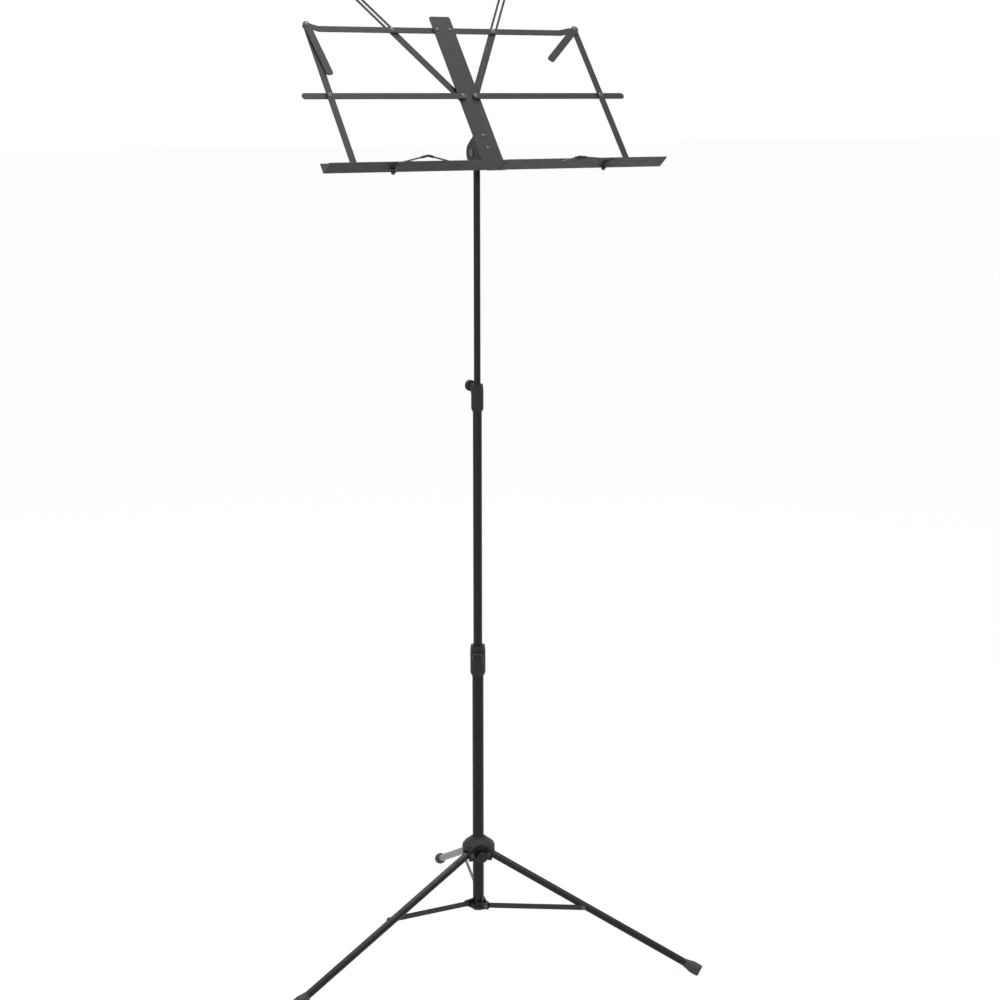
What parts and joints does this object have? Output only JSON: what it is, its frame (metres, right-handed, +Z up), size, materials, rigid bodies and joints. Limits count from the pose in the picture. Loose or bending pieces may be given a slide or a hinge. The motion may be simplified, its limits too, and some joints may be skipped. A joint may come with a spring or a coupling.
{
  "type": "music stand",
  "caption": "Folding music stand: telescopic mast on a folding tripod, with a tilting desk of riveted strips, page arms and wire page retainers.",
  "frame": {"origin": "on the floor, under the axis of the mast", "axes": "+Z up the mast, +X along the ledge to the reader's right, -Y towards the reader"},
  "size_m": [0.5761, 0.5626, 1.3413],
  "materials": {
    "tube_black": "satin",
    "plastic_black": "matte",
    "knob_black": "satin",
    "strip_charcoal": "satin",
    "strut_dark": "satin",
    "rivet_dark": "satin",
    "foot_rubber": "matte",
    "wire_dark": "satin",
    "sleeve_soft": "satin",
    "clip_dark": "satin"
  },
  "bodies": {
    "base": {"bottom_tube": "tube_black", "end_cap": "plastic_black", "strut_collar": "plastic_black", "collar_pins": "rivet_dark", "lower_clutch": "plastic_black"},
    "lower_lock": {"lower_knob": "knob_black"},
    "hub_slider": {"hub": "plastic_black", "leg_pins": "rivet_dark"},
    "hub_lock": {"hub_knob": "knob_black"},
    "middle": {"mid_tube": "tube_black", "mid_plug": "plastic_black", "upper_clutch": "plastic_black"},
    "upper_lock": {"upper_knob": "knob_black"},
    "top_slider": {"top_plug": "plastic_black"},
    "head": {"top_tube": "tube_black", "tilt_head": "plastic_black"},
    "desk": {"tilt_bracket": "plastic_black", "bracket_rivets": "rivet_dark", "tilt_bolt": "rivet_dark", "spine": "strip_charcoal", "spine_rivets": "rivet_dark"},
    "tilt_lock": {"wing_knob": "knob_black"},
    "rear_leg": {"leg_rear": "tube_black", "foot_rear": "foot_rubber"},
    "rear_strut": {"strut_rear": "strut_dark", "strut_rivet_rear": "rivet_dark"},
    "left_leg": {"leg_left": "tube_black", "foot_left": "foot_rubber"},
    "left_strut": {"strut_left": "strut_dark", "strut_rivet_left": "rivet_dark"},
    "right_leg": {"leg_right": "tube_black", "foot_right": "foot_rubber"},
    "right_strut": {"strut_right": "strut_dark", "strut_rivet_right": "rivet_dark"},
    "left_ledge": {"ledge_left": "strip_charcoal", "ledge_rivet_left": "rivet_dark", "clip_left": "clip_dark"},
    "left_mid_bar": {"mid_bar_left": "strip_charcoal"},
    "left_top_bar": {"top_bar_left": "strip_charcoal", "arm_rivet_left": "rivet_dark"},
    "left_side_bar": {"side_bar_left": "strip_charcoal", "side_rivets_left": "rivet_dark"},
    "left_page_arm": {"page_arm_left": "strip_charcoal"},
    "left_tab": {"tab_left": "strip_charcoal"},
    "left_retainer": {"retainer_left": "wire_dark", "sleeve_left": "sleeve_soft"},
    "right_ledge": {"ledge_right": "strip_charcoal", "ledge_rivet_right": "rivet_dark", "clip_right": "clip_dark"},
    "right_mid_bar": {"mid_bar_right": "strip_charcoal"},
    "right_top_bar": {"top_bar_right": "strip_charcoal", "arm_rivet_right": "rivet_dark"},
    "right_side_bar": {"side_bar_right": "strip_charcoal", "side_rivets_right": "rivet_dark"},
    "right_page_arm": {"page_arm_right": "strip_charcoal"},
    "right_tab": {"tab_right": "strip_charcoal"},
    "right_retainer": {"retainer_right": "wire_dark", "sleeve_right": "sleeve_soft"}
  },
  "joints": [
    {"name": "hub_slide", "type": "slide", "parent": "base", "child": "hub_slider", "axis": [0, 0, 1], "range_m": [0, 0.2203]},
    {"name": "rear_leg_fold", "type": "hinge", "parent": "hub_slider", "child": "rear_leg", "pos_m": [0.00571, 0.01707, 0.14361], "axis": [-0.9483, 0.3173, 0], "range_deg": [0, 66.02]},
    {"name": "rear_strut_fold", "type": "hinge", "parent": "base", "child": "rear_strut", "pos_m": [0.00476, 0.01422, 0.0655], "axis": [0.9483, -0.3173, 0], "range_deg": [0, 82.69]},
    {"name": "left_leg_fold", "type": "hinge", "parent": "hub_slider", "child": "left_leg", "pos_m": [-0.01764, -0.00359, 0.14361], "axis": [0.1994, -0.9799, 0], "range_deg": [0, 66.02]},
    {"name": "left_strut_fold", "type": "hinge", "parent": "base", "child": "left_strut", "pos_m": [-0.0147, -0.00299, 0.0655], "axis": [-0.1994, 0.9799, 0], "range_deg": [0, 82.69]},
    {"name": "right_leg_fold", "type": "hinge", "parent": "hub_slider", "child": "right_leg", "pos_m": [0.01193, -0.01348, 0.14361], "axis": [0.749, 0.6626, 0], "range_deg": [0, 66.02]},
    {"name": "right_strut_fold", "type": "hinge", "parent": "base", "child": "right_strut", "pos_m": [0.00994, -0.01123, 0.0655], "axis": [-0.749, -0.6626, 0], "range_deg": [0, 82.69]},
    {"name": "hub_knob_turn", "type": "hinge", "parent": "hub_slider", "child": "hub_lock", "pos_m": [-0.00518, -0.01932, 0.142], "axis": [-0.2588, -0.9659, 0], "continuous": true},
    {"name": "lower_knob_turn", "type": "hinge", "parent": "base", "child": "lower_lock", "pos_m": [-0.008, -0.01386, 0.432], "axis": [-0.5, -0.866, 0], "continuous": true},
    {"name": "middle_slide", "type": "slide", "parent": "base", "child": "middle", "axis": [0, 0, -1], "range_m": [-0.03, 0.31]},
    {"name": "upper_knob_turn", "type": "hinge", "parent": "middle", "child": "upper_lock", "pos_m": [-0.00315, 0.01364, 0.812], "axis": [-0.225, 0.9744, 0], "continuous": true},
    {"name": "top_slide", "type": "slide", "parent": "middle", "child": "top_slider", "axis": [0, 0, -1], "range_m": [-0.03, 0.288]},
    {"name": "top_swivel", "type": "hinge", "parent": "top_slider", "child": "head", "pos_m": [0, 0, 0.745], "axis": [0, 0, 1], "continuous": true},
    {"name": "desk_tilt", "type": "hinge", "parent": "head", "child": "desk", "pos_m": [0, 0, 1.126], "axis": [1, 0, 0], "range_deg": [-52, 28]},
    {"name": "tilt_knob_turn", "type": "hinge", "parent": "desk", "child": "tilt_lock", "pos_m": [0.012, 0, 1.126], "axis": [1, 0, 0], "continuous": true},
    {"name": "left_ledge_fold", "type": "hinge", "parent": "desk", "child": "left_ledge", "pos_m": [-0.0095, -0.0535, 1.11259], "axis": [0, 0.788, -0.6157], "range_deg": [0, 90]},
    {"name": "left_mid_bar_fold", "type": "hinge", "parent": "desk", "child": "left_mid_bar", "pos_m": [-0.0095, 0.01891, 1.19942], "axis": [0, 0.788, -0.6157], "range_deg": [0, 90.02]},
    {"name": "left_top_bar_fold", "type": "hinge", "parent": "desk", "child": "left_top_bar", "pos_m": [-0.0095, 0.09069, 1.28674], "axis": [0, 0.788, -0.6157], "range_deg": [0, 90.02]},
    {"name": "left_side_bar_fold", "type": "hinge", "parent": "left_ledge", "child": "left_side_bar", "pos_m": [-0.206, -0.05208, 1.11148], "axis": [0, 0.788, -0.6157], "range_deg": [-90.02, 0]},
    {"name": "left_page_arm_fold", "type": "hinge", "parent": "desk", "child": "left_page_arm", "pos_m": [-0.0095, 0.02112, 1.1977], "axis": [0, 0.788, -0.6157], "range_deg": [0, 31.17]},
    {"name": "left_tab_swing", "type": "hinge", "parent": "left_side_bar", "child": "left_tab", "pos_m": [-0.206, 0.08564, 1.29068], "axis": [0, 0.788, -0.6157], "range_deg": [-143.4, 6.6]},
    {"name": "left_retainer_lift", "type": "hinge", "parent": "left_ledge", "child": "left_retainer", "pos_m": [-0.1585, -0.06963, 1.10819], "axis": [0, 0.788, -0.6157], "range_deg": [-100, 0]},
    {"name": "right_ledge_fold", "type": "hinge", "parent": "desk", "child": "right_ledge", "pos_m": [0.0095, -0.0535, 1.11259], "axis": [0, -0.788, 0.6157], "range_deg": [0, 90]},
    {"name": "right_mid_bar_fold", "type": "hinge", "parent": "desk", "child": "right_mid_bar", "pos_m": [0.0095, 0.01891, 1.19942], "axis": [0, -0.788, 0.6157], "range_deg": [0, 90.02]},
    {"name": "right_top_bar_fold", "type": "hinge", "parent": "desk", "child": "right_top_bar", "pos_m": [0.0095, 0.09069, 1.28674], "axis": [0, -0.788, 0.6157], "range_deg": [0, 90.02]},
    {"name": "right_side_bar_fold", "type": "hinge", "parent": "right_ledge", "child": "right_side_bar", "pos_m": [0.206, -0.05208, 1.11148], "axis": [0, -0.788, 0.6157], "range_deg": [-90.02, 0]},
    {"name": "right_page_arm_fold", "type": "hinge", "parent": "desk", "child": "right_page_arm", "pos_m": [0.0095, 0.02112, 1.1977], "axis": [0, -0.788, 0.6157], "range_deg": [0, 31.17]},
    {"name": "right_tab_swing", "type": "hinge", "parent": "right_side_bar", "child": "right_tab", "pos_m": [0.206, 0.08564, 1.29068], "axis": [0, -0.788, 0.6157], "range_deg": [-102.2, 47.8]},
    {"name": "right_retainer_lift", "type": "hinge", "parent": "right_ledge", "child": "right_retainer", "pos_m": [0.1585, -0.06963, 1.10819], "axis": [0, -0.788, 0.6157], "range_deg": [-100, 0]}
  ],
  "couplings": [
    {"joint": "rear_leg_fold", "follows": "hub_slide", "rad_per_m": 5.2289},
    {"joint": "rear_strut_fold", "follows": "hub_slide", "rad_per_m": 6.5493},
    {"joint": "left_leg_fold", "follows": "hub_slide", "rad_per_m": 5.2289},
    {"joint": "left_strut_fold", "follows": "hub_slide", "rad_per_m": 6.5493},
    {"joint": "right_leg_fold", "follows": "hub_slide", "rad_per_m": 5.2289},
    {"joint": "right_strut_fold", "follows": "hub_slide", "rad_per_m": 6.5493},
    {"joint": "left_mid_bar_fold", "follows": "left_ledge_fold", "ratio": 1},
    {"joint": "left_top_bar_fold", "follows": "left_ledge_fold", "ratio": 1},
    {"joint": "left_side_bar_fold", "follows": "left_ledge_fold", "ratio": -1},
    {"joint": "left_page_arm_fold", "follows": "left_ledge_fold", "ratio": 0.34611},
    {"joint": "right_mid_bar_fold", "follows": "right_ledge_fold", "ratio": 1},
    {"joint": "right_top_bar_fold", "follows": "right_ledge_fold", "ratio": 1},
    {"joint": "right_side_bar_fold", "follows": "right_ledge_fold", "ratio": -1},
    {"joint": "right_page_arm_fold", "follows": "right_ledge_fold", "ratio": 0.34611}
  ]
}
